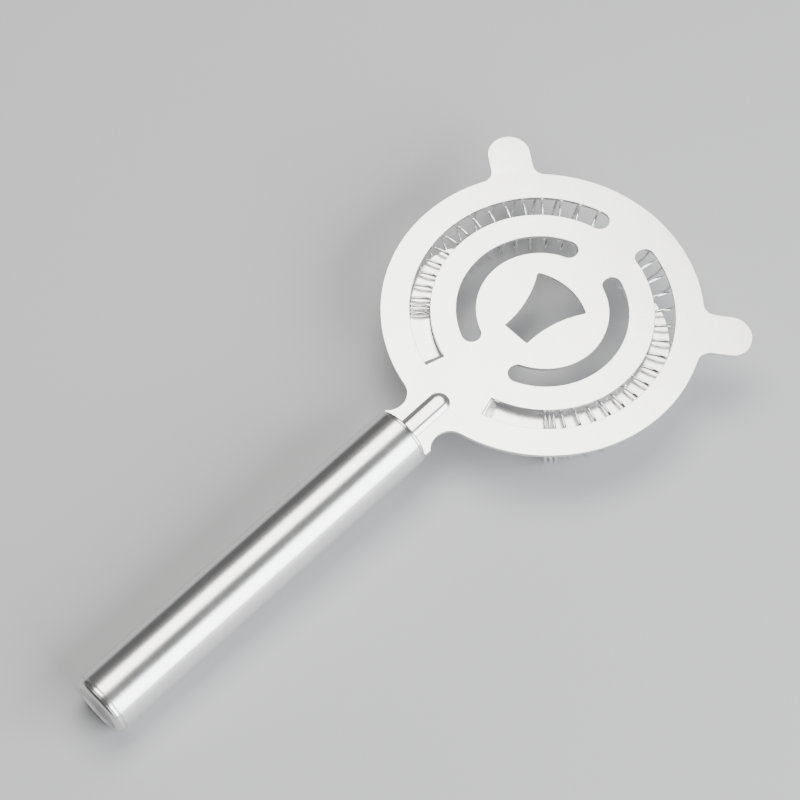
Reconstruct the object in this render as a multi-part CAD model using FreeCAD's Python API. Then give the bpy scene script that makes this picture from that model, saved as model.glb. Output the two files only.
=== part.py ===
import FreeCAD, Part
import math
import os

# Hawthorne strainer: a flat steel plate with two ears, a ring of coil spring under it, and a hollow handle.
# Millimetres. The origin is the disc's centre on the plate's underside, where it seats on a tin's rim.
# +X points away from the handle, +Y to the left ear seen from above, and +Z up.

Vector = FreeCAD.Vector

# ---- plate ----
PLATE_T = 1.1             # sheet thickness
DISC_R = 47.5
RIM_BORDER = 3.0          # the disc's border outside the spring, which rests on the tin's rim
EAR_ANGLE = 53.8          # degrees, each side of +X
EAR_REACH = 14.1          # from the disc's edge to an ear's tip
EAR_W = 13.0
EAR_ROOT_FILLET = 3.5
CUT_MARGIN = 1.0          # how far a cutting tool stands past the faces it cuts

# ---- slots; the angles are half of the sheet left between two slots, in front and behind ----
OUTER_SLOT_W = 6.0
OUTER_SLOT_INSET = 0.07   # the slots' middle inside the spring ring's middle
OUTER_BRIDGE_FRONT = 10.1
OUTER_BRIDGE_BACK = 16.7  # a tongue leaves the plate here
SLOT_WEB = 7.63           # sheet between the outer and the inner slots
INNER_SLOT_W = 5.7
INNER_BRIDGE_FRONT = 15.7
INNER_BRIDGE_BACK = 17.3

# ---- pouring hole: front corners, back corners and the middle of each side's arc ----
HOLE_FRONT_X = 8.25
HOLE_FRONT_HALF = 9.65
HOLE_BACK_X = -11.4
HOLE_BACK_HALF = 4.4
HOLE_FRONT_BULGE = 2.65   # the front side bows out by this
HOLE_SIDE_WAIST = 5.9     # half the hole's width where its sides come nearest
HOLE_CORNER_R = 1.0

# ---- tongues: strips lanced from the outer slots and bent down to hold the spring; angles in degrees ----
TONGUE_SIDE_GAP = 0.15    # between a tongue's edge and its slot
TONGUE_WIRE_GAP = 0.267   # under the spring's wire, at the tongue's inner edge
TONGUE_RAMP = 2.4         # length of the sloping root
LEFT_TONGUE_FULL = 51.3   # from its root to where it starts to narrow
LEFT_TONGUE_TAPER = 21.0
RIGHT_TONGUE_FULL = 95.3
RIGHT_TONGUE_TAPER = 32.0

# ---- neck, tang and rib ----
NECK_LEN = 10.7           # from the disc's edge to the handle
SCALLOP_R = 5.6
SHOULDER_INSET = 0.3      # the neck's shoulder inside the handle's outside
TANG_SIDE_GAP = 1.45      # from the tang's edge to the tube's bore
TANG_LEN = 24.0           # inside the handle
RIB_W = 6.3               # across the rib where it meets the plate
RIB_H = 1.5
RIB_FRONT = 17.8          # how far the rib runs ahead of the handle
RIB_BACK = 12.0           # how far it runs inside the handle

# ---- handle ----
HANDLE_R = 9.3
TUBE_WALL = 0.8
FRONT_FLANGE_T = 1.1
FRONT_SPIGOT = 4.0
TUBE_LEN = 112.1
END_BAND = 0.6            # straight part of the end cap's rim
END_EDGE_R = 1.9          # its rounded edge, tangent to the rim
END_EDGE_TURN = 62.0      # degrees that the edge turns through before the flat face
END_DISH = 0.5            # the end face's sunken middle
END_DISH_LAND = 1.3       # flat ring round that
END_SPIGOT = 5.0
SPIGOT_GAP = 0.05         # radial gap of a cap's spigot in the tube
SLOT_GAP = 0.05           # round the tang, in the front cap

# ---- spring ----
COIL_OD = 17.0
WIRE_D = 0.9
BARE_ROOT = 26.8          # degrees of each tongue between its root and the spring
OPEN_TURNS = 33
CLOSE_TURNS = 3           # close-wound, at each end
CLOSE_GAP = 0.1           # between close turns on the ring's inner side
SPRING_TOP_GAP = 0.15     # under the plate
WIRE_SIDES = 8            # the round wire is drawn as a polygon of the same area, to keep the mesh light

# ---- what follows from those sizes ----
FRONT_FACE_X = -DISC_R - NECK_LEN            # front of the handle's front cap
RIB_TIP_X = FRONT_FACE_X + RIB_FRONT
SHOULDER_W = 2 * (HANDLE_R - SHOULDER_INSET)
TANG_W = 2 * (HANDLE_R - TUBE_WALL - TANG_SIDE_GAP)
SCALLOP_Y = TANG_W / 2 + SCALLOP_R           # so the neck's waist is as wide as the tang
RING_R = DISC_R - RIM_BORDER - COIL_OD / 2   # ring through the middle of the coils
COIL_R = (COIL_OD - WIRE_D) / 2
COIL_Z = -SPRING_TOP_GAP - COIL_OD / 2
OUTER_SLOT_R = RING_R - OUTER_SLOT_INSET
INNER_SLOT_R = OUTER_SLOT_R - OUTER_SLOT_W / 2 - SLOT_WEB - INNER_SLOT_W / 2
TONGUE_BEND = 180 - OUTER_BRIDGE_BACK
SPRING_END = TONGUE_BEND - BARE_ROOT         # degrees from +X
TONGUE_INNER_R = OUTER_SLOT_R - OUTER_SLOT_W / 2 + TONGUE_SIDE_GAP
TONGUE_OUTER_R = OUTER_SLOT_R + OUTER_SLOT_W / 2 - TONGUE_SIDE_GAP
WIRE_OVER_EDGE = COIL_Z + math.sqrt((COIL_R - WIRE_D / 2) ** 2 - (RING_R - TONGUE_INNER_R) ** 2)
TONGUE_DROP = PLATE_T - WIRE_OVER_EDGE + TONGUE_WIRE_GAP


def polar(radius, degrees, z=0.0):
    angle = math.radians(degrees)
    return Vector(radius * math.cos(angle), radius * math.sin(angle), z)


def arc(start, through, end):
    return Part.Arc(start, through, end).toShape()


def line(start, end):
    return Part.LineSegment(start, end).toShape()


def ring_arc(radius, start_deg, end_deg, z):
    middle = (start_deg + end_deg) / 2
    return arc(polar(radius, start_deg, z), polar(radius, middle, z), polar(radius, end_deg, z))


def prism(edges, height):
    """Extrude the closed outline of these edges upwards."""
    return Part.Face(Part.Wire(edges)).extrude(Vector(0, 0, height))


def cylinder_x(radius, x_low, x_high, z):
    return Part.makeCylinder(radius, x_high - x_low, Vector(x_low, 0, z), Vector(1, 0, 0))


def mirrored_y(shape):
    return shape.mirror(Vector(0, 0, 0), Vector(0, 1, 0))


# ---------------------------------------------------------------- plate
def round_slot(radius, width, start_deg, end_deg):
    """A curved slot's cutting tool, with a round end at each of its tip angles."""
    half = width / 2
    cap = math.degrees(math.asin(half / radius))
    start = start_deg + cap
    end = end_deg - cap
    low = -CUT_MARGIN
    edges = [
        ring_arc(radius + half, start, end, low),
        arc(polar(radius + half, end, low), polar(radius, end_deg, low), polar(radius - half, end, low)),
        ring_arc(radius - half, end, start, low),
        arc(polar(radius - half, start, low), polar(radius, start_deg, low), polar(radius + half, start, low)),
    ]
    return prism(edges, PLATE_T + 2 * CUT_MARGIN)


def lanced_slot():
    """The outer slot's tool: round at the front, square where the tongue bends down."""
    half = OUTER_SLOT_W / 2
    inner = OUTER_SLOT_R - half
    outer = OUTER_SLOT_R + half
    start = OUTER_BRIDGE_FRONT + math.degrees(math.asin(half / OUTER_SLOT_R))
    low = -CUT_MARGIN
    edges = [
        ring_arc(outer, start, TONGUE_BEND, low),
        line(polar(outer, TONGUE_BEND, low), polar(inner, TONGUE_BEND, low)),
        ring_arc(inner, TONGUE_BEND, start, low),
        arc(polar(inner, start, low), polar(OUTER_SLOT_R, OUTER_BRIDGE_FRONT, low), polar(outer, start, low)),
    ]
    return prism(edges, PLATE_T + 2 * CUT_MARGIN)


def pouring_hole():
    """The four-sided fan-shaped hole in the middle, with rounded corners."""
    low = -CUT_MARGIN
    front = Vector(HOLE_FRONT_X, HOLE_FRONT_HALF, low)
    front_mirror = Vector(HOLE_FRONT_X, -HOLE_FRONT_HALF, low)
    back = Vector(HOLE_BACK_X, HOLE_BACK_HALF, low)
    back_mirror = Vector(HOLE_BACK_X, -HOLE_BACK_HALF, low)
    edges = [
        arc(front, Vector(0, HOLE_SIDE_WAIST, low), back),
        line(back, back_mirror),
        arc(back_mirror, Vector(0, -HOLE_SIDE_WAIST, low), front_mirror),
        arc(front_mirror, Vector(HOLE_FRONT_X + HOLE_FRONT_BULGE, 0, low), front),
    ]
    tool = prism(edges, PLATE_T + 2 * CUT_MARGIN)
    corners = [edge for edge in tool.Edges if is_upright(edge)]
    return tool.makeFillet(HOLE_CORNER_R, corners)


def is_upright(edge):
    first, last = edge.Vertexes[0].Point, edge.Vertexes[-1].Point
    return abs(first.z - last.z) > PLATE_T / 2 and (first - last).cross(Vector(0, 0, 1)).Length < 1e-6


def ear():
    """One ear along +X, from inside the disc to its round tip."""
    half = EAR_W / 2
    root_x = DISC_R - EAR_W
    tip_x = DISC_R + EAR_REACH - half
    edges = [
        line(Vector(root_x, -half, 0), Vector(tip_x, -half, 0)),
        arc(Vector(tip_x, -half, 0), Vector(DISC_R + EAR_REACH, 0, 0), Vector(tip_x, half, 0)),
        line(Vector(tip_x, half, 0), Vector(root_x, half, 0)),
        line(Vector(root_x, half, 0), Vector(root_x, -half, 0)),
    ]
    return prism(edges, PLATE_T)


def disc_with_ears():
    blank = Part.makeCylinder(DISC_R, PLATE_T)
    for angle in (EAR_ANGLE, -EAR_ANGLE):
        one_ear = ear()
        one_ear.rotate(Vector(0, 0, 0), Vector(0, 0, 1), angle)
        blank = blank.fuse(one_ear)
    blank = blank.removeSplitter()
    roots = [edge for edge in blank.Edges if is_upright(edge) and is_ear_root(edge)]
    return blank.makeFillet(EAR_ROOT_FILLET, roots)


def is_ear_root(edge):
    point = edge.Vertexes[0].Point
    radius = math.hypot(point.x, point.y)
    angle = abs(math.degrees(math.atan2(point.y, point.x)))
    reach = math.degrees(math.asin(EAR_W / 2 / DISC_R))
    return abs(radius - DISC_R) < 1e-3 and abs(abs(angle - EAR_ANGLE) - reach) < 0.5


def neck():
    """The short neck between the disc and the handle, scalloped on both sides."""
    inside = DISC_R - SCALLOP_Y
    blank = Part.makeBox(
        -FRONT_FACE_X - inside, 2 * SCALLOP_Y, PLATE_T, Vector(FRONT_FACE_X, -SCALLOP_Y, 0))
    scallop_x = -math.sqrt((DISC_R + SCALLOP_R) ** 2 - SCALLOP_Y ** 2)
    for side in (1, -1):
        tool = Part.makeCylinder(
            SCALLOP_R, PLATE_T + 2 * CUT_MARGIN, Vector(scallop_x, side * SCALLOP_Y, -CUT_MARGIN))
        blank = blank.cut(tool)
        trim_y = SHOULDER_W / 2 if side > 0 else -SHOULDER_W / 2 - SCALLOP_Y
        trim = Part.makeBox(
            scallop_x - FRONT_FACE_X, SCALLOP_Y, PLATE_T + 2 * CUT_MARGIN,
            Vector(FRONT_FACE_X, trim_y, -CUT_MARGIN))
        blank = blank.cut(trim)
    return blank


def tang(gap=0.0):
    return Part.makeBox(
        TANG_LEN, TANG_W + 2 * gap, PLATE_T + 2 * gap,
        Vector(FRONT_FACE_X - TANG_LEN, -TANG_W / 2 - gap, -gap))


def rib_radius():
    return ((RIB_W / 2) ** 2 + RIB_H ** 2) / (2 * RIB_H)


def rib_core(radius):
    """A round-ended rod that forms the pressed rib's upper or lower surface."""
    axis_z = PLATE_T + RIB_H - rib_radius()
    front_x = RIB_TIP_X - RIB_W / 2
    back_x = FRONT_FACE_X - RIB_BACK
    rod = cylinder_x(radius, back_x, front_x, axis_z)
    for x in (back_x, front_x):
        rod = rod.fuse(Part.makeSphere(radius, Vector(x, 0, axis_z)))
    return rod


def rib(gap=0.0):
    """The rib above the plate's underside."""
    box = Part.makeBox(
        2 * DISC_R, 2 * RIB_W, RIB_W, Vector(RIB_TIP_X - 2 * DISC_R + RIB_W, -RIB_W, PLATE_T / 2))
    return rib_core(rib_radius() + gap).common(box)


def rib_hollow():
    box = Part.makeBox(
        2 * DISC_R, 2 * RIB_W, RIB_W + CUT_MARGIN,
        Vector(RIB_TIP_X - 2 * DISC_R + RIB_W, -RIB_W, -CUT_MARGIN))
    return rib_core(rib_radius() - PLATE_T).common(box)


def tongue(full, taper):
    """A tongue on the +Y side: its sloping root, then a flat strip that tapers to its inner edge."""
    inner, outer = TONGUE_INNER_R, TONGUE_OUTER_R
    flat_start = TONGUE_BEND - math.degrees(TONGUE_RAMP / OUTER_SLOT_R)
    taper_start = TONGUE_BEND - full
    taper_mid = taper_start - taper / 2
    tip = taper_start - taper
    low = -TONGUE_DROP
    bow_r = (inner + outer) / 2 + OUTER_SLOT_W / 8
    edges = [
        ring_arc(outer, flat_start, taper_start, low),
        arc(polar(outer, taper_start, low), polar(bow_r, taper_mid, low), polar(inner, tip, low)),
        ring_arc(inner, tip, flat_start, low),
        line(polar(inner, flat_start, low), polar(outer, flat_start, low)),
    ]
    strip = prism(edges, PLATE_T)
    top = section(inner, outer, TONGUE_BEND, 0.0)
    bottom = section(inner, outer, flat_start, low)
    return strip.fuse(Part.makeLoft([top, bottom], True, True))


def section(inner, outer, degrees, z):
    """A tongue's cross-section at one angle."""
    corners = [polar(inner, degrees, z), polar(outer, degrees, z),
               polar(outer, degrees, z + PLATE_T), polar(inner, degrees, z + PLATE_T)]
    return Part.makePolygon(corners + corners[:1])


def strainer_plate():
    plate = disc_with_ears().fuse(neck()).fuse(tang()).fuse(rib())
    outer_slot = lanced_slot()
    inner_slot = round_slot(INNER_SLOT_R, INNER_SLOT_W, INNER_BRIDGE_FRONT, 180 - INNER_BRIDGE_BACK)
    for tool in (outer_slot, mirrored_y(outer_slot), inner_slot, mirrored_y(inner_slot)):
        plate = plate.cut(tool)
    plate = plate.cut(pouring_hole()).cut(rib_hollow())
    plate = plate.fuse(tongue(LEFT_TONGUE_FULL, LEFT_TONGUE_TAPER))
    plate = plate.fuse(mirrored_y(tongue(RIGHT_TONGUE_FULL, RIGHT_TONGUE_TAPER)))
    return plate.removeSplitter()


# ---------------------------------------------------------------- handle
HANDLE_Z = PLATE_T / 2    # the handle's axis lies in the middle of the sheet
TUBE_FRONT_X = FRONT_FACE_X - FRONT_FLANGE_T
TUBE_BACK_X = TUBE_FRONT_X - TUBE_LEN
SPIGOT_R = HANDLE_R - TUBE_WALL - SPIGOT_GAP


def handle_front_cap():
    cap = cylinder_x(HANDLE_R, TUBE_FRONT_X, FRONT_FACE_X, HANDLE_Z)
    cap = cap.fuse(cylinder_x(SPIGOT_R, TUBE_FRONT_X - FRONT_SPIGOT, TUBE_FRONT_X, HANDLE_Z))
    return cap.cut(tang(SLOT_GAP)).cut(rib(SLOT_GAP)).removeSplitter()


def handle_tube():
    tube = cylinder_x(HANDLE_R, TUBE_BACK_X, TUBE_FRONT_X, HANDLE_Z)
    return tube.cut(cylinder_x(
        HANDLE_R - TUBE_WALL, TUBE_BACK_X - CUT_MARGIN, TUBE_FRONT_X + CUT_MARGIN, HANDLE_Z))


def handle_end_cap():
    """A turned cap: spigot, straight rim, rounded edge and a shallow dished face."""
    rim_x = TUBE_BACK_X - END_BAND
    half_edge = edge_point(rim_x, END_EDGE_TURN / 2)
    face_edge = edge_point(rim_x, END_EDGE_TURN)
    face_x, face_r = face_edge
    dish_r = face_r - END_DISH_LAND
    start = (TUBE_BACK_X + END_SPIGOT, 0)
    rim = [start, (TUBE_BACK_X + END_SPIGOT, SPIGOT_R), (TUBE_BACK_X, SPIGOT_R), (TUBE_BACK_X, HANDLE_R),
           (rim_x, HANDLE_R)]
    face = [face_edge, (face_x, dish_r), (face_x + END_DISH, dish_r - END_DISH), (face_x + END_DISH, 0), start]
    rounding = arc(in_profile(rim[-1]), in_profile(half_edge), in_profile(face_edge))
    profile = Part.Face(Part.Wire(outline(rim) + [rounding] + outline(face)))
    return profile.revolve(Vector(0, 0, HANDLE_Z), Vector(1, 0, 0), 360)


def edge_point(rim_x, degrees):
    """A point on the end cap's rounded edge, as x and radius."""
    turn = math.radians(degrees)
    return rim_x - END_EDGE_R * math.sin(turn), HANDLE_R - END_EDGE_R * (1 - math.cos(turn))


def in_profile(point):
    return Vector(point[0], 0, HANDLE_Z + point[1])


def outline(points):
    return [line(in_profile(a), in_profile(b)) for a, b in zip(points, points[1:])]


# ---------------------------------------------------------------- spring
CLOSE_PITCH = WIRE_D * RING_R / (RING_R - COIL_R) + CLOSE_GAP
RING_LEN = 2 * math.radians(SPRING_END) * RING_R
OPEN_PITCH = (RING_LEN - 2 * CLOSE_TURNS * CLOSE_PITCH) / OPEN_TURNS
TURNS = OPEN_TURNS + 2 * CLOSE_TURNS


def along_ring(turns):
    """How far round the ring the wire has come after this many whole turns, in mm."""
    first = min(turns, CLOSE_TURNS)
    last = max(turns - CLOSE_TURNS - OPEN_TURNS, 0)
    middle = turns - first - last
    return (first + last) * CLOSE_PITCH + middle * OPEN_PITCH


def half_turn(start, end, side):
    """Half a circle of wire from start to end, which leaves start towards that side."""
    centre = (start + end) / 2
    axis = (start - centre).cross(side)
    return wire_section(start, (start - centre).normalize(), side).revolve(centre, axis, 180)


def wire_section(centre, outward, side):
    """The wire's section as a polygon with a flat outside, square to the wire's direction."""
    across = side.cross(outward).normalize()
    step = 2 * math.pi / WIRE_SIDES
    corner_r = WIRE_D / 2 * math.sqrt(step / math.sin(step))
    corners = []
    for number in range(WIRE_SIDES):
        turn = (number + 0.5) * step
        corners.append(centre + outward * (corner_r * math.cos(turn)) + across * (corner_r * math.sin(turn)))
    return Part.Face(Part.makePolygon(corners + corners[:1]))


def spring_turn(index):
    """One turn of the wire: up the ring's inner side, over the top and down its outer side."""
    begin = along_ring(index)
    pitch = along_ring(index + 1) - begin
    degrees = -SPRING_END + math.degrees((begin + pitch / 2) / RING_R)
    outward = polar(1, degrees)
    half_pitch = Vector(0, 0, 1).cross(outward) * (pitch / 2)
    radius = math.sqrt(RING_R ** 2 - (pitch / 2) ** 2)
    bottom = polar(radius, degrees, COIL_Z - COIL_R)
    top = polar(radius, degrees, COIL_Z + COIL_R)
    rising = half_turn(bottom - half_pitch, top, -outward)
    falling = half_turn(top, bottom + half_pitch, outward)
    return rising.fuse(falling)


def coil_spring():
    return Part.Compound([spring_turn(index) for index in range(TURNS)])


PIECES = {
    "strainer_plate": strainer_plate,
    "handle_front_cap": handle_front_cap,
    "handle_tube": handle_tube,
    "handle_end_cap": handle_end_cap,
    "coil_spring": coil_spring,
}

os.makedirs("parts", exist_ok=True)
for name, make in PIECES.items():
    shape = make()
    shape.exportStep("parts/" + name + ".step")
    box = shape.BoundBox
    print(f"{name}: {len(shape.Solids)} solid(s), {shape.Volume:.1f} mm3, valid {shape.isValid()}")
    print(f"  x {box.XMin:.2f}..{box.XMax:.2f}, y {box.YMin:.2f}..{box.YMax:.2f}, z {box.ZMin:.2f}..{box.ZMax:.2f}")
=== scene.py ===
# %% [markdown]
# # A hawthorne strainer in satin steel
# A hawthorne strainer is a slotted steel disc with two ears, a long coil spring bent round under it, and a
# hollow handle. The solids came from CAD, so this lesson loads them as a fixed frame and builds the finely
# rounded meshes that stand for them. Everything is in metres, in the frame of the part: +X to the front of the
# disc, +Y to its left ear, +Z up, and the origin under the middle of the disc.

# %% Load the frame
import math
import bpy
from mathutils import Matrix, Vector


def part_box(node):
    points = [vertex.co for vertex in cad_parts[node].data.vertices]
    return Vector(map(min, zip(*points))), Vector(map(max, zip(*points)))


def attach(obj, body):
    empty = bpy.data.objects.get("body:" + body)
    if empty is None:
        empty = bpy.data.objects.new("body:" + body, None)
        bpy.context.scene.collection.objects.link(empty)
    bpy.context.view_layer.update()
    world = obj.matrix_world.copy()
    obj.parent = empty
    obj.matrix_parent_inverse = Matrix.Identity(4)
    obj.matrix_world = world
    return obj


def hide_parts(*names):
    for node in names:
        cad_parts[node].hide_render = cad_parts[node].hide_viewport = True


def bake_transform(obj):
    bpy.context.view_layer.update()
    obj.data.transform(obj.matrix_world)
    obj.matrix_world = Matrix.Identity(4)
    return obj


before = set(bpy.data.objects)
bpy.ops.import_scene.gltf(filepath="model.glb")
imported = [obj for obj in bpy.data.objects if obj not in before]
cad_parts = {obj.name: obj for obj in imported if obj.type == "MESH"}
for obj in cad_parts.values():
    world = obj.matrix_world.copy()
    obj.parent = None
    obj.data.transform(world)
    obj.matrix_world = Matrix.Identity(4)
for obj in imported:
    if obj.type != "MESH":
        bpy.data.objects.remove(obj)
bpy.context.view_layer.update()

MM = 0.001

# %% [markdown]
# ## Three helpers for working by hand
# An operator acts on everything that is selected, so each step starts from an empty selection. A modifier is
# only a recipe until it is applied, and a boolean's tool is thrown away once it has cut.

# %% Selection, modifiers and booleans
SAME_PLACE = 1e-6         # metres: vertices closer than this are one vertex


def pick(piece):
    bpy.ops.object.select_all(action="DESELECT")
    piece.select_set(True)
    bpy.context.view_layer.objects.active = piece


def use_modifier(piece, kind, **settings):
    modifier = piece.modifiers.new(kind.lower(), kind)
    for name, value in settings.items():
        setattr(modifier, name, value)
    pick(piece)
    bpy.ops.object.modifier_apply(modifier=modifier.name)


def combine(piece, tool, operation):
    use_modifier(piece, "BOOLEAN", object=tool, operation=operation, solver="EXACT")
    bpy.data.objects.remove(tool)


def edit(piece):
    pick(piece)
    bpy.ops.object.mode_set(mode="EDIT")
    bpy.ops.mesh.select_all(action="SELECT")


def leave_edit():
    bpy.ops.object.mode_set(mode="OBJECT")


def point_faces_out():
    bpy.ops.mesh.select_all(action="SELECT")
    bpy.ops.mesh.normals_make_consistent(inside=False)


# %% [markdown]
# ## Outlines from arcs
# Sheet metal is an outline with a thickness. An outline here is a list of points in millimetres, made of arcs,
# and a round stretch gets a point about every degree and a half, so that no facet shows at the silhouette.

# %% Arcs, and a prism from an outline
ARC_STEP = 1.5            # degrees
SAME_POINT = 0.02         # mm: outline points closer than this are one point


def arc(centre, radius, start, end, least=6):
    """Points of an arc, from one angle to the other in degrees, both ends included."""
    steps = max(least, round(abs(end - start) / ARC_STEP))
    angles = [math.radians(start + (end - start) * i / steps) for i in range(steps + 1)]
    return [(centre[0] + radius * math.cos(a), centre[1] + radius * math.sin(a)) for a in angles]


def turned_about_z(points, degrees):
    c, s = math.cos(math.radians(degrees)), math.sin(math.radians(degrees))
    return [(x * c - y * s, x * s + y * c) for x, y in points]


def mirrored(points):
    return [(x, -y) for x, y in reversed(points)]


def without_doubles(points):
    kept = []
    for point in points:
        if not kept or math.dist(point, kept[-1]) > SAME_POINT:
            kept.append(point)
    if math.dist(kept[0], kept[-1]) < SAME_POINT:
        kept.pop()
    return kept


def prism(name, outline, low, high):
    """A filled circle, reshaped to the outline and extruded upwards. Sizes are in mm."""
    outline = without_doubles(outline)
    bpy.ops.object.select_all(action="DESELECT")
    bpy.ops.mesh.primitive_circle_add(vertices=len(outline), radius=MM, fill_type="NGON")
    piece = bpy.context.object
    piece.name = name
    for vertex, (x, y) in zip(piece.data.vertices, outline):
        vertex.co = (x * MM, y * MM, low * MM)
    edit(piece)
    bpy.ops.mesh.extrude_region_move(TRANSFORM_OT_translate={"value": (0, 0, (high - low) * MM)})
    point_faces_out()
    leave_edit()
    return piece



# %% [markdown]
# ## Rounding the edges
# A stamped sheet has no razor edges: each one is a tiny round that catches the light. The sharp edges are
# selected by angle, some may be left out by their place, and a bevel of a few segments rounds the rest.
# Weighted normals then keep the flat faces flat, so that the rounding doesn't shade into them.

# %% A helper that bevels sharp edges
SHARP = math.radians(32)


def round_edges(piece, radius, leave_out=None, segments=3):
    """Bevels the sharp edges by a radius in mm, apart from those whose two ends leave_out says yes to."""
    edit(piece)
    bpy.ops.mesh.select_mode(type="EDGE")
    bpy.ops.mesh.select_all(action="DESELECT")
    bpy.ops.mesh.edges_select_sharp(sharpness=SHARP)
    leave_edit()
    mesh = piece.data
    for edge in mesh.edges:
        ends = [mesh.vertices[i].co for i in edge.vertices]
        if edge.select and leave_out and leave_out(ends):
            edge.select = False
    bpy.ops.object.mode_set(mode="EDIT")
    bpy.ops.mesh.bevel(offset=radius * MM, segments=segments, affect="EDGES", clamp_overlap=True)
    leave_edit()


def finish_shading(piece):
    pick(piece)
    bpy.ops.object.shade_smooth_by_angle(angle=SHARP)
    use_modifier(piece, "WEIGHTED_NORMAL", keep_sharp=True, weight=50)


# %% [markdown]
# ## The plate's outline
# The disc meets each straight-sided ear in a small hollow curve, and the neck in a deep scallop. Each of these
# is a circle that touches its neighbours, so its centre follows from the radii. One half is drawn and the other
# mirrored.

# %% Outline of the disc, ears, neck and tang
# Sizes are in mm and angles in degrees, measured at the middle of the disc from straight ahead.
PLATE_T = 1.1
DISC_R = 47.5
EAR_ANGLE = 53.8
EAR_TIP_R = 61.6          # from the middle of the disc to an ear's tip
EAR_HALF = 6.5            # half an ear's width, and the radius of its tip
EAR_FILLET = 3.5          # hollow curve at an ear's root
SCALLOP_R = 5.6           # hollow curve between the disc and the neck
SCALLOP_Y = 12.65
SHOULDER_Y = 9.0          # half the neck's width where it meets the handle
FRONT_FACE_X = -58.2      # where the neck meets the handle
SHOULDER_GAP = 0.25       # between the two
TANG_Y = 7.05             # half the width of the tang inside the handle
TANG_BACK_X = -82.2


def ear_points():
    """An ear that points along +X, from the disc round its tip and back, and the angle where it starts."""
    hollow_y = EAR_HALF + EAR_FILLET
    hollow_x = math.sqrt((DISC_R + EAR_FILLET) ** 2 - hollow_y ** 2)
    start = math.degrees(math.atan2(hollow_y, hollow_x))
    lower = arc((hollow_x, -hollow_y), EAR_FILLET, 180 - start, 90)
    return lower + arc((EAR_TIP_R - EAR_HALF, 0), EAR_HALF, -90, 90) + mirrored(lower), start


def plate_outline():
    """The right half from the tang round to the front of the disc, and its mirror image."""
    scallop_x = -math.sqrt((DISC_R + SCALLOP_R) ** 2 - SCALLOP_Y ** 2)
    to_shoulder = 180 - math.degrees(math.asin((SCALLOP_Y - SHOULDER_Y) / SCALLOP_R))
    to_disc = math.degrees(math.atan2(SCALLOP_Y, -scallop_x))
    ear, ear_half = ear_points()
    shoulder_x = FRONT_FACE_X + SHOULDER_GAP
    right = [(TANG_BACK_X, -TANG_Y), (shoulder_x, -TANG_Y), (shoulder_x, -SHOULDER_Y)]
    right += arc((scallop_x, -SCALLOP_Y), SCALLOP_R, to_shoulder, to_disc)
    right += arc((0, 0), DISC_R, to_disc - 180, -EAR_ANGLE - ear_half)
    right += turned_about_z(ear, -EAR_ANGLE)
    right += arc((0, 0), DISC_R, -EAR_ANGLE + ear_half, 0)
    return right + mirrored(right)


strainer_plate = prism("plate_of_steel", plate_outline(), 0, PLATE_T)
print("plate outline:", len(strainer_plate.data.vertices) // 2, "points")

# %% [markdown]
# ## Cutting the slots and the pouring hole
# Two inner slots let the drink out. The two outer slots are where the tongues were cut free, so they are round
# in front and square at the back, where each tongue stays joined. Each tool stands past both faces, because a
# boolean is unsure about faces that lie in one plane.

# %% Cut the slots
OUTER_SLOT_R = 35.93      # along the middle of the slot
OUTER_SLOT_W = 6.0
OUTER_SLOT_TIP = 10.1     # angle of its front end
TONGUE_BEND = 163.3       # angle of its back end, where the tongue bends down
INNER_SLOT_R = 22.45
INNER_SLOT_W = 5.7
INNER_SLOT_TIP = 15.7
INNER_SLOT_BACK = 162.7
TOOL_LOW, TOOL_HIGH = -2.0, 4.0


def slot_end(radius, width, tip, backwards):
    """A slot's round end, from its outer side to its inner side or the other way."""
    half = width / 2
    centre_angle = tip + math.degrees(math.asin(half / radius)) * (-1 if backwards else 1)
    centre = (radius * math.cos(math.radians(centre_angle)), radius * math.sin(math.radians(centre_angle)))
    start = centre_angle if backwards else centre_angle + 180
    return arc(centre, half, start, start + 180, least=16), centre_angle


def slot_outline(radius, width, tip, back, square_back):
    front, front_angle = slot_end(radius, width, tip, False)
    rear, rear_angle = ([], back) if square_back else slot_end(radius, width, back, True)
    outer = arc((0, 0), radius + width / 2, front_angle, rear_angle)
    inner = arc((0, 0), radius - width / 2, rear_angle, front_angle)
    return outer + rear + inner + front


outer_slot = slot_outline(OUTER_SLOT_R, OUTER_SLOT_W, OUTER_SLOT_TIP, TONGUE_BEND, True)
inner_slot = slot_outline(INNER_SLOT_R, INNER_SLOT_W, INNER_SLOT_TIP, INNER_SLOT_BACK, False)
for outline in (outer_slot, mirrored(outer_slot), inner_slot, mirrored(inner_slot)):
    combine(strainer_plate, prism("slot_tool", outline, TOOL_LOW, TOOL_HIGH), "DIFFERENCE")
print("plate with slots:", len(strainer_plate.data.polygons), "faces")

# %% [markdown]
# The pouring hole has a bowed front, a straight back and two waisted sides. An arc through three points gives
# each curved side, and its four corners are rounded on the tool before it cuts.

# %% Cut the pouring hole
HOLE_FRONT = (8.25, 9.65)     # its left front corner
HOLE_BACK = (-11.4, 4.4)      # its left back corner
HOLE_FRONT_BULGE = 2.65       # how far its front bows out
HOLE_SIDE_WAIST = 5.85        # half its width level with the middle of the disc
HOLE_CORNER_R = 1.1


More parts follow.
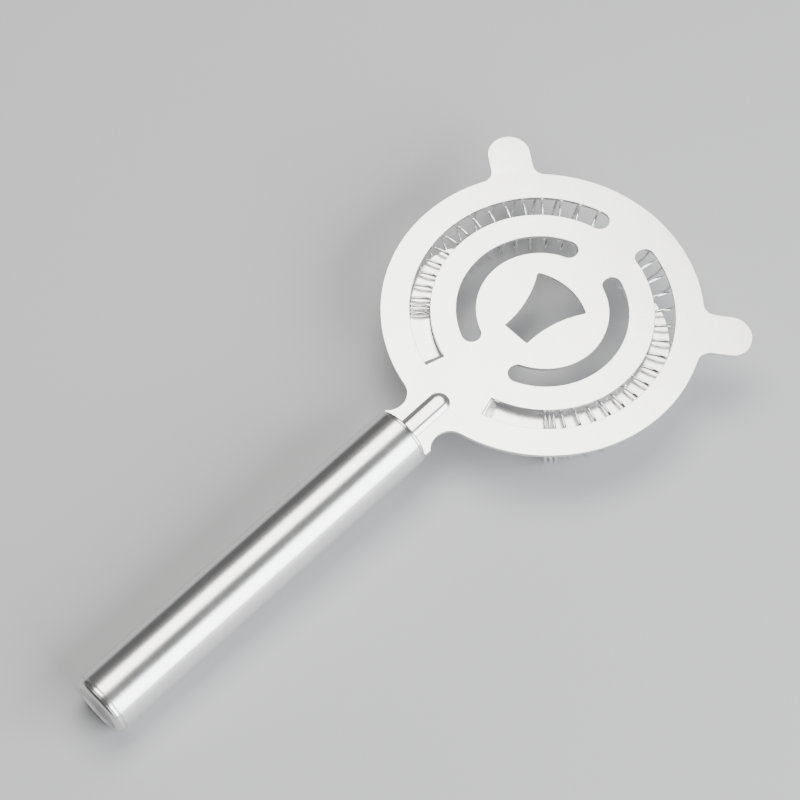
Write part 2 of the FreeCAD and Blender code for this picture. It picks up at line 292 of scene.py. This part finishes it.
def arc_through(first, middle, last):
    """Points of the arc through three points, from the first to the last."""
    (ax, ay), (bx, by), (cx, cy) = first, middle, last
    d = 2 * (ax * (by - cy) + bx * (cy - ay) + cx * (ay - by))
    a2, b2, c2 = ax * ax + ay * ay, bx * bx + by * by, cx * cx + cy * cy
    centre = ((a2 * (by - cy) + b2 * (cy - ay) + c2 * (ay - by)) / d,
              (a2 * (cx - bx) + b2 * (ax - cx) + c2 * (bx - ax)) / d)
    start = math.degrees(math.atan2(ay - centre[1], ax - centre[0]))
    sweep = math.degrees(math.atan2(cy - centre[1], cx - centre[0])) - start
    sweep = (sweep + 180) % 360 - 180
    return arc(centre, math.dist(centre, first), start, start + sweep, least=12)


def hole_tool():
    (fx, fy), (bx, by) = HOLE_FRONT, HOLE_BACK
    outline = arc_through((fx, -fy), (fx + HOLE_FRONT_BULGE, 0), (fx, fy))
    outline += arc_through((fx, fy), (0, HOLE_SIDE_WAIST), (bx, by))
    outline += arc_through((bx, -by), (0, -HOLE_SIDE_WAIST), (fx, -fy))
    tool = prism("hole_tool", outline, TOOL_LOW, TOOL_HIGH)
    corners = [Vector((x, side * y, 0)) * MM for x, y in (HOLE_FRONT, HOLE_BACK) for side in (1, -1)]

    def is_not_corner(ends):
        upright = (ends[0].xy - ends[1].xy).length < SAME_PLACE
        return not (upright and any((ends[0].xy - corner.xy).length < 10 * SAME_PLACE for corner in corners))

    round_edges(tool, HOLE_CORNER_R, is_not_corner, segments=6)
    return tool


combine(strainer_plate, hole_tool(), "DIFFERENCE")
print("plate with pouring hole:", len(strainer_plate.data.polygons), "faces")

# %% [markdown]
# With every hole cut, the plate's edges are rounded in one go. The square end of an outer slot is left out,
# because there the sheet goes straight on into its tongue.

# %% Round the plate's edges
EDGE_ROUND = 0.22
NEAR_BEND = 0.05          # degrees
BEND_MARGIN = 0.1         # mm, past each side of the slot


def on_bend_line(ends):
    """True for the square end of an outer slot, where the tongue carries the sheet on."""
    angles = [abs(math.degrees(math.atan2(p.y, p.x))) for p in ends]
    radii = [p.xy.length / MM for p in ends]
    half = OUTER_SLOT_W / 2 + BEND_MARGIN
    return (all(abs(angle - TONGUE_BEND) < NEAR_BEND for angle in angles)
            and all(abs(radius - OUTER_SLOT_R) < half for radius in radii))


round_edges(strainer_plate, EDGE_ROUND, on_bend_line)
print("plate with rounded edges:", len(strainer_plate.data.polygons), "faces")

# %% [markdown]
# ## The rib on the neck
# A long pressed rib stiffens the neck and runs on into the handle. It is a stadium-shaped face that is inset and
# raised a little at a time: a hollow curve where it leaves the sheet, a straight flank, a round shoulder and a
# back that is nearly flat. The same steps, narrower and one sheet thickness lower, make the hollow under it.

# %% The rib's profile
RIB_Y = 3.2               # half its width, halfway down its foot
RIB_H = 1.35
RIB_FOOT_R = 0.7          # hollow curve at its foot
RIB_SHOULDER_R = 2.0      # round curve at its shoulder
RIB_LEAN = 52.0           # degrees, of the straight flank between them
RIB_CROWN = 4.0           # degrees, at the edge of its nearly flat back
RIB_STEPS = 7             # in each of the two curves
RIB_BACK = ((1.0, 0.0), (0.6, 0.04), (0.2, 0.06))   # shares of its back's half width, and each one's rise


def rib_profile(grow):
    """Half widths and heights from the rib's foot to its middle, all widened by the same amount."""
    lean, crown = math.radians(RIB_LEAN), math.radians(RIB_CROWN)
    points = [(0.0, 0.0)]
    for i in range(1, RIB_STEPS + 1):
        turn = lean * i / RIB_STEPS
        points.append((-RIB_FOOT_R * math.sin(turn), RIB_FOOT_R * (1 - math.cos(turn))))
    shoulder_h = RIB_SHOULDER_R * (math.cos(crown) - math.cos(lean))
    flank_h = RIB_H - RIB_BACK[-1][1] - points[-1][1] - shoulder_h
    points.append((points[-1][0] - flank_h / math.tan(lean), points[-1][1] + flank_h))
    side, height = points[-1]
    for i in range(1, RIB_STEPS + 1):
        turn = lean + (crown - lean) * i / RIB_STEPS
        points.append((side - RIB_SHOULDER_R * (math.sin(lean) - math.sin(turn)),
                       height + RIB_SHOULDER_R * (math.cos(turn) - math.cos(lean))))
    half = RIB_Y + RIB_FOOT_R * math.sin(lean) / 2 + grow
    points = [(half + y, h) for y, h in points]
    side, height = points.pop()
    return points + [(side * share, height + rise) for share, rise in RIB_BACK]


print("rib profile:", len(rib_profile(0)), "points")

# %% [markdown]
# The rib ends in the round front of a stadium, a rectangle with two round ends, and its back end is out of sight
# in the handle. Its foot starts a hair below the sheet's face, because a boolean is unsure about faces that lie
# in one plane.

# %% Press the rib
RIB_TIP_X = -40.4
RIB_BACK_X = -70.0
RIB_ROOT = 0.4            # how far each tool stands past the sheet's face
RIB_SINK = 0.02           # how far the foot starts below the sheet's face
RIB_WALL = 0.75           # how much narrower, to each side, the hollow under the rib is


def stadium(front_x, back_x, half):
    return arc((front_x - half, 0), half, -90, 90, least=24) + arc((back_x + half, 0), half, 90, 270, least=24)


def raised(name, profile, front_grow):
    """A stadium that is inset and raised through the profile's points, each a half width and a height."""
    half, low = profile[0]
    piece = prism(name, stadium(RIB_TIP_X + front_grow, RIB_BACK_X, half), low - RIB_ROOT, low)
    edit(piece)
    bpy.ops.mesh.select_mode(type="FACE")
    bpy.ops.mesh.select_all(action="DESELECT")
    leave_edit()
    top = max(piece.data.polygons, key=lambda face: face.center.z if face.normal.z > 0.9 else -1)
    top.select = True
    bpy.ops.object.mode_set(mode="EDIT")
    for (wide, below), (narrow, above) in zip(profile, profile[1:]):
        bpy.ops.mesh.inset(thickness=(wide - narrow) * MM, depth=(above - below) * MM)
    leave_edit()
    return piece


rib = raised("rib", [(y, PLATE_T + h - RIB_SINK) for y, h in rib_profile(0)], RIB_FOOT_R / 2)
rib_hollow = raised(
    "rib_hollow", [(y, h - RIB_SINK) for y, h in rib_profile(-RIB_WALL)], RIB_FOOT_R / 2 - RIB_WALL)
combine(strainer_plate, rib, "UNION")
combine(strainer_plate, rib_hollow, "DIFFERENCE")
print("plate with rib:", len(strainer_plate.data.polygons), "faces")

# %% [markdown]
# ## The two tongues
# Each tongue is the strip that its slot was cut from. It stays joined at the handle end, bends down, and runs on
# under the slot to hold the spring, narrowing to its inner edge. A grid is bent to that shape by moving its
# vertices, Solidify gives it the sheet's thickness, and a bevel rounds its free edges.

# %% Bend the tongues
TONGUE_GAP = 0.15         # to each side of its slot
TONGUE_DROP = 3.0
TONGUE_RAMP = 2.4         # length of the bend down
RAMP_STEPS = 12
TONGUE_SLOPE = 0.012      # it goes on down by this much for each mm
TONGUES = {"left": (1, 112.0, 91.0), "right": (-1, 68.0, 36.0)}   # side, angle where it narrows, tip's angle
TIP_WIDTH = 0.9
TAPER_POWER = 1.6         # above 1, it narrows slowly at first
TONGUE_EDGE_ROUND = EDGE_ROUND * 0.8


def smooth(t):
    """Rises from 0 to 1 with a level start and a level end."""
    t = min(max(t, 0.0), 1.0)
    return t * t * (3 - 2 * t)


def tongue(name, side, taper_start, tip):
    """One tongue, on the side 1 or -1, that narrows from one angle to the other."""
    inner = OUTER_SLOT_R - OUTER_SLOT_W / 2 + TONGUE_GAP
    full = OUTER_SLOT_W - 2 * TONGUE_GAP
    ramp_angle = math.degrees(TONGUE_RAMP / OUTER_SLOT_R)
    stations = [TONGUE_BEND - ramp_angle * i / RAMP_STEPS for i in range(RAMP_STEPS)]
    run = TONGUE_BEND - ramp_angle - tip
    count = round(run / ARC_STEP)
    stations += [TONGUE_BEND - ramp_angle - run * i / count for i in range(count + 1)]
    bpy.ops.object.select_all(action="DESELECT")
    bpy.ops.mesh.primitive_grid_add(x_subdivisions=len(stations) - 1, y_subdivisions=4, size=2)
    piece = bpy.context.object
    piece.name = name
    for vertex in piece.data.vertices:
        angle = stations[round((vertex.co.x + 1) / 2 * (len(stations) - 1))]
        across = (vertex.co.y + 1) / 2
        taper = max(0.0, (taper_start - angle) / (taper_start - tip))
        width = TIP_WIDTH + (full - TIP_WIDTH) * (1 - taper ** TAPER_POWER)
        radius = inner + width * across
        along = math.radians(TONGUE_BEND - angle) * OUTER_SLOT_R
        down = TONGUE_DROP * smooth(along / TONGUE_RAMP) + TONGUE_SLOPE * max(0, along - TONGUE_RAMP)
        turn = math.radians(angle)
        vertex.co = (radius * math.cos(turn) * MM, side * radius * math.sin(turn) * MM, (PLATE_T - down) * MM)
    edit(piece)
    point_faces_out()
    leave_edit()
    up = sum(face.normal.z for face in piece.data.polygons) > 0
    use_modifier(piece, "SOLIDIFY", thickness=PLATE_T * MM, offset=-1 if up else 1, use_even_offset=True)
    edit(piece)
    point_faces_out()
    leave_edit()
    round_edges(piece, TONGUE_EDGE_ROUND, on_bend_line)
    return piece


for name, (side, taper_start, tip) in TONGUES.items():
    strip = tongue("tongue_" + name, side, taper_start, tip)
    pick(strainer_plate)
    strip.select_set(True)
    bpy.ops.object.join()
finish_shading(strainer_plate)
print("finished plate:", len(strainer_plate.data.polygons), "faces")

# %% [markdown]
# ## The spring
# One bright wire is wound into a coil and bent round in a ring. Its last turns lie close together at each end,
# and the open turns are widest apart at the front, where the ring is stretched most. A loop works out the
# wire's points, a curve gives them a round section, and the curve is made a mesh.

# %% How the turns are spread round the ring
RING_R = 36.0             # from the middle of the disc to the middle of a turn
COIL_R = 8.05             # from the middle of a turn to the middle of the wire
COIL_Z = -8.65
SPRING_END = 136.5        # angle of each end, from straight ahead
CLOSE_TURNS = 3           # at each end
OPEN_TURNS = 33
CLOSE_PITCH = 1.26
PITCH_AT_ENDS = 4.1       # of the open turns


def open_length(turns):
    """How far round the ring the first open turns reach, if the pitch swells towards the front."""
    ring = 2 * math.radians(SPRING_END) * RING_R - 2 * CLOSE_TURNS * CLOSE_PITCH
    swell = (ring - PITCH_AT_ENDS * OPEN_TURNS) / 2
    return PITCH_AT_ENDS * turns + swell * (1 - math.cos(math.pi * turns / OPEN_TURNS))


def along_ring(turns):
    """How far round the ring the wire has come after so many turns."""
    first = min(turns, CLOSE_TURNS)
    middle = min(max(turns - CLOSE_TURNS, 0), OPEN_TURNS)
    last = max(turns - CLOSE_TURNS - OPEN_TURNS, 0)
    return (first + last) * CLOSE_PITCH + open_length(middle)


def wire_point(turns):
    around = 2 * math.pi * turns
    angle = -math.radians(SPRING_END) + along_ring(turns) / RING_R
    radius = RING_R - COIL_R * math.sin(around)
    height = COIL_Z - COIL_R * math.cos(around)
    return radius * math.cos(angle) * MM, radius * math.sin(angle) * MM, height * MM


front_pitch = open_length(OPEN_TURNS / 2 + 0.5) - open_length(OPEN_TURNS / 2 - 0.5)
print("pitch at the front:", round(front_pitch, 2), "mm")

# %% Wind the spring
WIRE_R = 0.45
WIRE_RESOLUTION = 3       # gives the wire ten sides
WIRE_SMOOTH = math.radians(50)
POINTS_PER_TURN = 36


def wind_spring():
    curve = bpy.data.curves.new("coil_of_wire", "CURVE")
    curve.dimensions = "3D"
    curve.bevel_depth = WIRE_R * MM
    curve.bevel_resolution = WIRE_RESOLUTION
    curve.use_fill_caps = True
    total = (OPEN_TURNS + 2 * CLOSE_TURNS) * POINTS_PER_TURN
    spline = curve.splines.new("POLY")
    spline.points.add(total)
    for index in range(total + 1):
        spline.points[index].co = (*wire_point(index / POINTS_PER_TURN), 1)
    piece = bpy.data.objects.new("spring_of_wire", curve)
    bpy.context.scene.collection.objects.link(piece)
    pick(piece)
    bpy.ops.object.convert(target="MESH")
    edit(piece)
    bpy.ops.mesh.remove_doubles(threshold=SAME_PLACE)
    point_faces_out()
    leave_edit()
    bpy.ops.object.shade_smooth_by_angle(angle=WIRE_SMOOTH)
    return piece


coil_spring = wind_spring()
print("spring:", len(coil_spring.data.polygons), "faces")

# %% [markdown]
# ## The handle
# The tube and its two caps are turned parts. Each is a closed profile, half of a cut through the middle, that is
# spun all the way round the handle's axis. The corners of a profile are sharp, so the spun piece is bevelled.

# %% Turn a profile round the handle's axis
HANDLE_Z = PLATE_T / 2    # the axis is halfway through the sheet
SPIN_STEPS = 144


def turned(name, profile):
    """Spins a closed profile, given as pairs of x and radius in mm."""
    profile = without_doubles(profile)
    bpy.ops.object.select_all(action="DESELECT")
    bpy.ops.mesh.primitive_circle_add(vertices=len(profile), radius=MM, fill_type="NOTHING")
    piece = bpy.context.object
    piece.name = name
    for vertex, (x, radius) in zip(piece.data.vertices, profile):
        vertex.co = (x * MM, 0, (HANDLE_Z + radius) * MM)
    edit(piece)
    bpy.ops.mesh.spin(
        steps=SPIN_STEPS, angle=2 * math.pi, center=(0, 0, HANDLE_Z * MM), axis=(1, 0, 0))
    bpy.ops.mesh.select_all(action="SELECT")
    bpy.ops.mesh.remove_doubles(threshold=SAME_PLACE)
    bpy.ops.mesh.dissolve_degenerate(threshold=SAME_PLACE / 10)
    point_faces_out()
    leave_edit()
    return piece


# %% [markdown]
# The tube is open at both ends. Where a cap meets it, both have a small chamfer, and the two together make a
# groove that shows as a fine line round the handle.

# %% The tube
HANDLE_R = 9.3
TUBE_WALL = 0.8
TUBE_FRONT_X = -59.3
TUBE_BACK_X = -171.4
SEAM_DEPTH = 0.3          # of the groove where a cap meets the tube
SEAM_HALF = 0.22          # half its width
SEAM_ROUND = 0.08

tube_bore = HANDLE_R - TUBE_WALL
seam_r = HANDLE_R - SEAM_DEPTH
handle_tube = turned("tube_of_handle", [
    (TUBE_FRONT_X, tube_bore), (TUBE_FRONT_X, seam_r), (TUBE_FRONT_X - SEAM_HALF, HANDLE_R),
    (TUBE_BACK_X + SEAM_HALF, HANDLE_R), (TUBE_BACK_X, seam_r), (TUBE_BACK_X, tube_bore)])
round_edges(handle_tube, SEAM_ROUND, segments=2)
finish_shading(handle_tube)
print("tube:", len(handle_tube.data.polygons), "faces")

# %% [markdown]
# The front cap has a thin rim with a rounded front edge, and a spigot that fills the tube behind it. The tang runs
# through the cap, so the plate's mesh passes into it.

# %% The front cap
SPIGOT_GAP = 0.05         # between a spigot and the tube's bore
SPIGOT_R = tube_bore - SPIGOT_GAP
FRONT_SPIGOT = 4.0        # its length
FRONT_ROUND = 0.6         # of the rim's front edge

front_edge = arc((FRONT_FACE_X - FRONT_ROUND, HANDLE_R - FRONT_ROUND), FRONT_ROUND, 0, 90, least=10)
front_cap = turned("front_cap_of_handle", [(FRONT_FACE_X, 0)] + front_edge + [
    (TUBE_FRONT_X + SEAM_HALF, HANDLE_R), (TUBE_FRONT_X, seam_r), (TUBE_FRONT_X, SPIGOT_R),
    (TUBE_FRONT_X - FRONT_SPIGOT, SPIGOT_R), (TUBE_FRONT_X - FRONT_SPIGOT, 0)])
round_edges(front_cap, SEAM_ROUND, segments=2)
finish_shading(front_cap)
print("front cap:", len(front_cap.data.polygons), "faces")

# %% [markdown]
# The end cap is a turned button: a narrow lip as wide as the tube, a rounded edge with a fine groove turned in it,
# and a flat ring round a face that is dished a little in the middle.

# %% The end cap
LIP_LEN = 0.6
EDGE_R = 1.9
EDGE_TURN = 62.0          # degrees, where the rounded edge stops short of the flat ring
EDGE_POINTS = 14
GROOVE = 0.18             # depth of the fine groove, a third of the way round the edge
DISH = 0.5
DISH_LAND = 1.3           # width of the flat ring
END_SPIGOT = 5.0
BUTT_ROUND = 0.12


def end_cap_profile():
    lip_x = TUBE_BACK_X - LIP_LEN
    edge = arc((lip_x, HANDLE_R - EDGE_R), EDGE_R, 90, 90 + EDGE_TURN, least=EDGE_POINTS)
    step = len(edge) // 3
    groove_x, groove_r = edge[step]
    edge[step] = (groove_x + GROOVE / 2, groove_r - GROOVE)
    face_x, face_r = edge[-1]
    dish_r = face_r - DISH_LAND
    inside_x = TUBE_BACK_X + END_SPIGOT
    rim = [(inside_x, 0), (inside_x, SPIGOT_R), (TUBE_BACK_X, SPIGOT_R), (TUBE_BACK_X, seam_r),
           (TUBE_BACK_X - SEAM_HALF, HANDLE_R)]
    return rim + edge + [(face_x, dish_r), (face_x + DISH, dish_r - DISH), (face_x + DISH, 0)]


end_cap = turned("end_cap_of_handle", end_cap_profile())
round_edges(end_cap, BUTT_ROUND)
finish_shading(end_cap)
print("end cap:", len(end_cap.data.polygons), "faces")

# %% [markdown]
# ## Steel
# All the pieces are stainless steel, and differ in how they were finished. A shader node group makes the grain,
# noise that is stretched along the brushing, and a slower cloud of handling marks, and it paints a highlight that
# lightens the sharp convex edges.
# Each material places the group with its own values and keeps its Principled BSDF to itself.

# %% The grain group's nodes
def new_node(tree, kind, place, values=None, **settings):
    """Adds a node at its place on the sheet, with its settings made and its unlinked inputs given values."""
    node = tree.nodes.new(kind)
    node.location = place
    for name, value in settings.items():
        setattr(node, name, value)
    for name, value in (values or {}).items():
        node.inputs[name].default_value = value
    return node


def grain_sockets(group):
    """What a material can set, and what it gets back."""
    for name, kind, default in (
            ("Tint", "NodeSocketColor", (0.8, 0.8, 0.8, 1)), ("Stretch", "NodeSocketVector", (60, 3000, 3000)),
            ("Roughness", "NodeSocketFloat", 0.3), ("Contrast", "NodeSocketFloat", 0.5),
            ("Depth", "NodeSocketFloat", 0.1)):
        group.interface.new_socket(name, in_out="INPUT", socket_type=kind).default_value = default
    for name, kind in (
            ("Color", "NodeSocketColor"), ("Roughness", "NodeSocketFloat"), ("Normal", "NodeSocketVector")):
        group.interface.new_socket(name, in_out="OUTPUT", socket_type=kind)


steel_grain = bpy.data.node_groups.new("steel_grain", "ShaderNodeTree")
grain_sockets(steel_grain)
source = new_node(steel_grain, "NodeGroupInput", (-1100, 0))
result = new_node(steel_grain, "NodeGroupOutput", (700, 0))
print("grain group:", len(steel_grain.interface.items_tree), "sockets")

# %% [markdown]
# Three patterns lie under everything: the streaks, which are noise squeezed by the Stretch input, the clouds, and
# the pointiness of the mesh, which is high along its edges.

# %% Streaks, clouds and edges
place = new_node(steel_grain, "ShaderNodeTexCoord", (-1100, -300))
mapping = new_node(steel_grain, "ShaderNodeMapping", (-850, -100))
streaks = new_node(
    steel_grain, "ShaderNodeTexNoise", (-650, -100), {"Scale": 1.0, "Detail": 5.0, "Roughness": 0.65})
clouds = new_node(steel_grain, "ShaderNodeTexNoise", (-650, -400), {"Scale": 55.0, "Detail": 3.0})
edges = new_node(steel_grain, "ShaderNodeNewGeometry", (-650, -650))
# painted highlight: this mask is high where the mesh's pointiness marks a sharp convex edge
edge_highlight_mask = new_node(steel_grain, "ShaderNodeMapRange", (-400, -600), {"From Min": 0.52, "From Max": 0.62})

link = steel_grain.links.new
link(place.outputs["Object"], mapping.inputs["Vector"])
link(source.outputs["Stretch"], mapping.inputs["Scale"])
link(mapping.outputs["Vector"], streaks.inputs["Vector"])
link(place.outputs["Object"], clouds.inputs["Vector"])
link(edges.outputs["Pointiness"], edge_highlight_mask.inputs["Value"])
print("patterns:", len(steel_grain.nodes), "nodes")

# %% [markdown]
# The colour is the tint, darkened a little along the streaks and lightened along the sharp edges by a painted
# highlight.

# %% The grain's colour
shade = new_node(steel_grain, "ShaderNodeMapRange", (-400, 100), {"To Min": 0.86, "To Max": 1.06})
fade = new_node(steel_grain, "ShaderNodeMix", (-200, 100), {"A": 1.0}, data_type="FLOAT")
tinted = new_node(
    steel_grain, "ShaderNodeMix", (50, 100), {"Factor": 1.0}, data_type="RGBA", blend_type="MULTIPLY")
# painted highlight: a fixed grey is added to the colour along the sharp edges
painted_edge_highlight = new_node(
    steel_grain, "ShaderNodeMix", (300, 100), {"B": (0.12, 0.12, 0.12, 1)}, data_type="RGBA", blend_type="ADD")

link(streaks.outputs["Fac"], shade.inputs["Value"])
link(source.outputs["Contrast"], fade.inputs["Factor"])
link(shade.outputs["Result"], fade.inputs["B"])
link(source.outputs["Tint"], tinted.inputs["A"])
link(fade.outputs["Result"], tinted.inputs["B"])
link(edge_highlight_mask.outputs["Result"], painted_edge_highlight.inputs["Factor"])
link(tinted.outputs["Result"], painted_edge_highlight.inputs["A"])
link(painted_edge_highlight.outputs["Result"], result.inputs["Color"])
print("with colour:", len(steel_grain.nodes), "nodes")

# %% [markdown]
# The roughness is the material's own, made to vary a little by the streaks and the clouds. Each of the two noises
# averages a half, so it is scaled and then shifted down by half as much, to average nothing. The streaks also
# feed a very shallow bump.

# %% The grain's roughness and bump
STREAK_ROUGHNESS = 0.16
CLOUD_ROUGHNESS = 0.12

spread = new_node(
    steel_grain, "ShaderNodeMath", (-400, -200), {1: STREAK_ROUGHNESS, 2: -STREAK_ROUGHNESS / 2},
    operation="MULTIPLY_ADD")
cloudy = new_node(
    steel_grain, "ShaderNodeMath", (-400, -400), {1: CLOUD_ROUGHNESS, 2: -CLOUD_ROUGHNESS / 2},
    operation="MULTIPLY_ADD")
both = new_node(steel_grain, "ShaderNodeMath", (-200, -300), operation="ADD")
scaled = new_node(steel_grain, "ShaderNodeMath", (0, -300), operation="MULTIPLY_ADD")
bump = new_node(steel_grain, "ShaderNodeBump", (300, -450), {"Distance": 0.00002})

link(streaks.outputs["Fac"], spread.inputs[0])
link(clouds.outputs["Fac"], cloudy.inputs[0])
link(spread.outputs["Value"], both.inputs[0])
link(cloudy.outputs["Value"], both.inputs[1])
link(both.outputs["Value"], scaled.inputs[0])
link(source.outputs["Contrast"], scaled.inputs[1])
link(source.outputs["Roughness"], scaled.inputs[2])
link(scaled.outputs["Value"], result.inputs["Roughness"])
link(source.outputs["Depth"], bump.inputs["Strength"])
link(streaks.outputs["Fac"], bump.inputs["Height"])
link(bump.outputs["Normal"], result.inputs["Normal"])
print("finished grain group:", len(steel_grain.nodes), "nodes")

# %% [markdown]
# The plate has a soft satin face with fine straight grain. The tube was polished as it turned, so its grain runs
# round it, and so does the caps'. The spring is bright drawn wire. The stretch says how fine the grain is along
# each axis, so it runs along the axis with the small number.

# %% The four steels
def steel(name, tint, stretch, roughness, contrast, depth):
    """A metal with its own Principled BSDF, and the grain group set to its values."""
    material = bpy.data.materials.new(name)
    material.use_nodes = True
    tree = material.node_tree
    shader = tree.nodes["Principled BSDF"]
    shader.inputs["Metallic"].default_value = 1.0
    grain = new_node(tree, "ShaderNodeGroup", (-400, 200), {
        "Tint": (*tint, 1), "Stretch": stretch, "Roughness": roughness, "Contrast": contrast, "Depth": depth,
    }, node_tree=steel_grain)
    for given, wanted in (("Color", "Base Color"), ("Roughness", "Roughness"), ("Normal", "Normal")):
        tree.links.new(grain.outputs[given], shader.inputs[wanted])
    return material


FINISHES = {
    "satin_plate": steel("satin_plate", (0.90, 0.895, 0.88), (70, 4200, 4200), 0.28, 0.45, 0.12),
    "polished_tube": steel("polished_tube", (0.84, 0.835, 0.82), (2400, 50, 50), 0.24, 0.5, 0.12),
    "turned_cap": steel("turned_cap", (0.82, 0.815, 0.80), (3500, 60, 60), 0.20, 0.5, 0.10),
    "bright_wire": steel("bright_wire", (0.86, 0.86, 0.86), (400, 400, 400), 0.16, 0.5, 0.05),
}


def give(piece, finish, node):
    """Gives a piece its one finish, and hides the CAD node that it stands for."""
    piece.data.materials.clear()
    piece.data.materials.append(FINISHES[finish])
    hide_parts(node)


give(strainer_plate, "satin_plate", "strainer_plate")
give(handle_tube, "polished_tube", "handle_tube")
give(front_cap, "turned_cap", "handle_front_cap")
give(end_cap, "turned_cap", "handle_end_cap")
give(coil_spring, "bright_wire", "coil_spring")
for piece in (strainer_plate, handle_tube, front_cap, end_cap):
    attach(piece, "plate")
print("finishes:", ", ".join(FINISHES))

# %% [markdown]
# ## The spring's ends
# In use a tin's wall pushes the front of the ring back, while the spring's ends stay on the tongues. This cell
# finds where the ends lie along x, and bakes the spring's placing into its mesh.

# %% Where the spring ends
spring_end_x = RING_R * math.cos(math.radians(SPRING_END)) * MM
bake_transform(coil_spring)
print("spring follows the plate behind x =", round(spring_end_x / MM, 1), "mm")

# %% [markdown]
# ## Floor, light and camera
# The strainer lies on the end of its handle and on the back turns of its spring, so the plate slopes. The part
# stays in its own frame, and the floor is tilted to touch both. One large softbox above the disc fills the
# plate with light, and a second one at the side draws the other bright line along the handle.

# %% Floor
BUTT_REST = 0.004         # metres from the butt's face to where the handle touches the floor
FLOOR_SIZE = 6
FLOOR_COLOUR = (0.50, 0.50, 0.51, 1)
FLOOR_ROUGHNESS = 0.55

rest_back = Vector((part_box("handle_end_cap")[0].x + BUTT_REST, 0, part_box("handle_end_cap")[0].z))
rest_front = Vector((spring_end_x, 0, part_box("coil_spring")[0].z))
slope = math.atan2(rest_back.z - rest_front.z, rest_front.x - rest_back.x)
bpy.ops.object.select_all(action="DESELECT")
bpy.ops.mesh.primitive_plane_add(size=FLOOR_SIZE, location=(rest_back + rest_front) / 2, rotation=(0, slope, 0))
floor = bpy.context.object
floor.name = "floor"

floor_paint = bpy.data.materials.new("pale_floor")
floor_paint.use_nodes = True
floor_shader = floor_paint.node_tree.nodes["Principled BSDF"]
floor_shader.inputs["Base Color"].default_value = FLOOR_COLOUR
floor_shader.inputs["Roughness"].default_value = FLOOR_ROUGHNESS
floor.data.materials.append(floor_paint)
print("floor slopes by", round(math.degrees(slope), 2), "degrees")

# %% Softboxes and world
WORLD_GREY = (0.12, 0.121, 0.125, 1)


def softbox(name, place, target, along_x, across, power, colour):
    """A rectangular light that faces the target, with two of its edges level and in line with the handle."""
    light = bpy.data.lights.new(name, "AREA")
    light.shape = "RECTANGLE"
    light.size, light.size_y = along_x, across
    light.energy = power
    light.color = colour
    back = (Vector(place) - Vector(target)).normalized()
    side = (Vector((1, 0, 0)) - back * back.x).normalized()
    lamp = bpy.data.objects.new(name, light)
    lamp.matrix_world = (
        Matrix.Translation(place) @ Matrix((side, back.cross(side), back)).transposed().to_4x4())
    bpy.context.scene.collection.objects.link(lamp)


softbox("softbox_over_plate", place=(0.12, 0.275, 0.86), target=(-0.03, 0, 0),
        along_x=0.80, across=0.54, power=9.5, colour=(1.0, 0.985, 0.955))
softbox("softbox_beside_handle", place=(0.16, -0.76, 0.40), target=(-0.06, 0, 0),
        along_x=1.00, across=0.74, power=20, colour=(0.95, 0.975, 1.0))

world = bpy.data.worlds.new("studio")
bpy.context.scene.world = world
world.use_nodes = True
world.node_tree.nodes["Background"].inputs["Color"].default_value = WORLD_GREY
world.node_tree.nodes["Background"].inputs["Strength"].default_value = 1.0
print("lights:", ", ".join(light.name for light in bpy.data.lights))

# %% Camera
VIEW_AZIMUTH = -46.9
VIEW_ELEVATION = 62.4
VIEW_ROLL = 1.96
VIEW_DISTANCE = 0.6425
VIEW_TARGET = Vector((-0.0503, 0.0088, 0.0))
VIEW_LENS = 100.9

azimuth, elevation = math.radians(VIEW_AZIMUTH), math.radians(VIEW_ELEVATION)
back = Vector((
    math.sin(azimuth) * math.cos(elevation), -math.cos(azimuth) * math.cos(elevation), math.sin(elevation)))
camera_data = bpy.data.cameras.new("camera")
camera_data.lens = VIEW_LENS
camera = bpy.data.objects.new("camera", camera_data)
bpy.context.scene.collection.objects.link(camera)
look = (-back).to_track_quat("-Z", "Y").to_matrix().to_4x4()
roll = Matrix.Rotation(math.radians(VIEW_ROLL), 4, "Z")
camera.matrix_world = Matrix.Translation(VIEW_TARGET + back * VIEW_DISTANCE) @ look @ roll
bpy.context.scene.camera = camera
print("camera at", [round(v, 3) for v in camera.matrix_world.translation])
